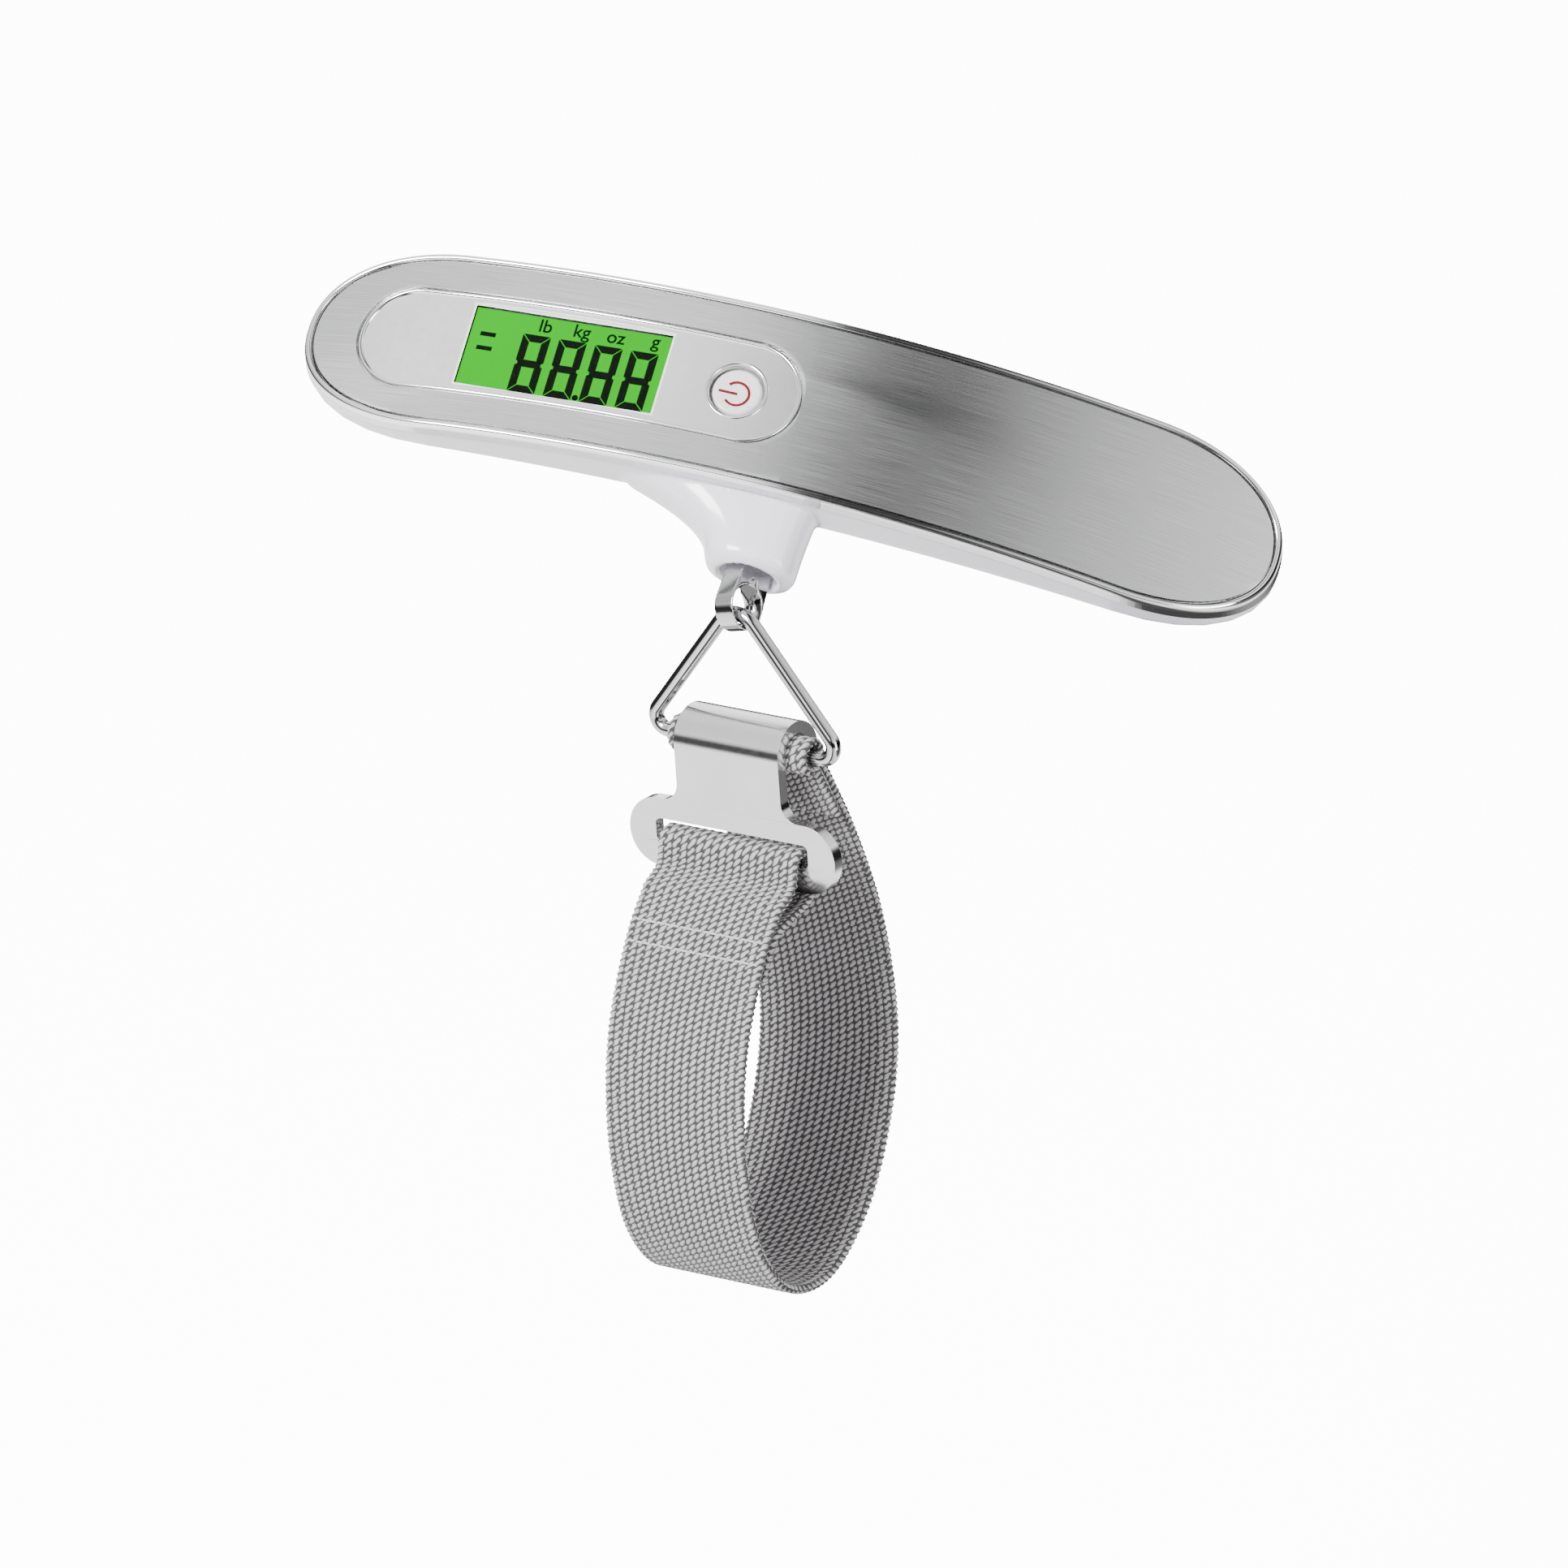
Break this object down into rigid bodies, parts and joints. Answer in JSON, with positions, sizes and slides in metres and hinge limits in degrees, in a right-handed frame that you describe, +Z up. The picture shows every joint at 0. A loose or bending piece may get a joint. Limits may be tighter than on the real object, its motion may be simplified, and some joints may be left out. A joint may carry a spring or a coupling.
{
  "type": "digital luggage scale",
  "caption": "Hand-held digital luggage scale: arched steel-faced bar with lit display and power button, swivelling eye, wire triangle, hook plate and a webbing loop.",
  "frame": {"origin": "middle of the bar where the hand holds it", "axes": "+Z up along the plumb line of the hanging strap; +X to the right along the bar as seen from the display side; -Y towards the reader"},
  "size_m": [0.1525, 0.0667, 0.1542],
  "materials": {
    "face_steel": "brushed along the bar",
    "rim_chrome": "polished",
    "shell_white": "gloss",
    "door_white": "gloss",
    "bezel_silver": "satin silver",
    "lens_clear": "clear",
    "display_lit": "lit from behind",
    "guide_clear": "clear",
    "electronic_black": "matt",
    "zebra_rubber": "matt",
    "board_green": "solder resist",
    "cell_aluminium": "milled",
    "gauge_film": "film",
    "screw_zinc": "zinc plated",
    "coin_steel": "satin",
    "contact_brass": "sprung strip",
    "wire_red": "insulation",
    "wire_black": "insulation",
    "button_white": "gloss",
    "eye_chrome": "polished",
    "link_chrome": "polished",
    "hook_polished": "polished",
    "webbing_grey": "coarse basket weave"
  },
  "bodies": {
    "bar": {"steel_face_plate": "face_steel", "front_frame": "rim_chrome", "back_shell": "shell_white", "window_bezel": "bezel_silver", "lcd_lens": "lens_clear", "lcd_panel": "display_lit", "backlight_guide": "guide_clear", "zebra_strip": "zebra_rubber", "backlight_led_1": "guide_clear", "backlight_led_2": "guide_clear", "main_board": "board_green", "controller_chip": "electronic_black", "tact_switch": "electronic_black", "board_screw_1": "screw_zinc", "board_screw_2": "screw_zinc", "load_cell": "cell_aluminium", "strain_gauge_upper": "gauge_film", "strain_gauge_lower": "gauge_film", "load_cell_screw_1": "screw_zinc", "load_cell_screw_2": "screw_zinc", "case_screw_1": "screw_zinc", "case_screw_2": "screw_zinc", "case_screw_3": "screw_zinc", "coin_cell": "coin_steel", "battery_contact_negative": "contact_brass", "battery_contact_positive": "contact_brass", "battery_lead_red": "wire_red", "battery_lead_black": "wire_black", "gauge_lead": "wire_black"},
    "power_button": {"power_button": "button_white"},
    "battery_door": {"battery_door": "door_white"},
    "hanger": {"hanger_eye": "eye_chrome", "hanger_washer": "screw_zinc", "hanger_nut": "screw_zinc"},
    "triangle": {"triangle_link": "link_chrome"},
    "strap": {"strap_webbing": "webbing_grey"},
    "hook": {"hook_plate": "hook_polished", "strap_fold": "webbing_grey"}
  },
  "joints": [
    {"name": "button_press", "type": "slide", "parent": "bar", "child": "power_button", "axis": [-0.1307, 0.7003, -0.7018], "range_m": [0, 0.0004], "stiffness_N_per_m": 1500},
    {"name": "door_turn", "type": "hinge", "parent": "bar", "child": "battery_door", "pos_m": [0.04657, 0.00791, -0.0199], "axis": [-0.2786, 0.6966, -0.6611], "range_deg": [0, 40]},
    {"name": "hanger_swivel", "type": "hinge", "parent": "bar", "child": "hanger", "pos_m": [-0.00033, 0.00133, -0.00131], "axis": [0.1696, 0.7133, 0.6801], "continuous": true},
    {"name": "triangle_swing", "type": "hinge", "parent": "hanger", "child": "triangle", "pos_m": [-0.00575, -0.02149, -0.02308], "axis": [0.9063, -0.4226, 0], "range_deg": [-60, 45]},
    {"name": "strap_swing", "type": "hinge", "parent": "triangle", "child": "strap", "pos_m": [-0.00575, -0.02149, -0.04448], "axis": [0.9063, -0.4226, 0], "range_deg": [-60, 60]},
    {"name": "hook_tilt", "type": "hinge", "parent": "strap", "child": "hook", "pos_m": [-0.00575, -0.02149, -0.04448], "axis": [0.9063, -0.4226, 0], "range_deg": [-3, 18], "stiffness_Nm_per_rad": 0.05}
  ]
}
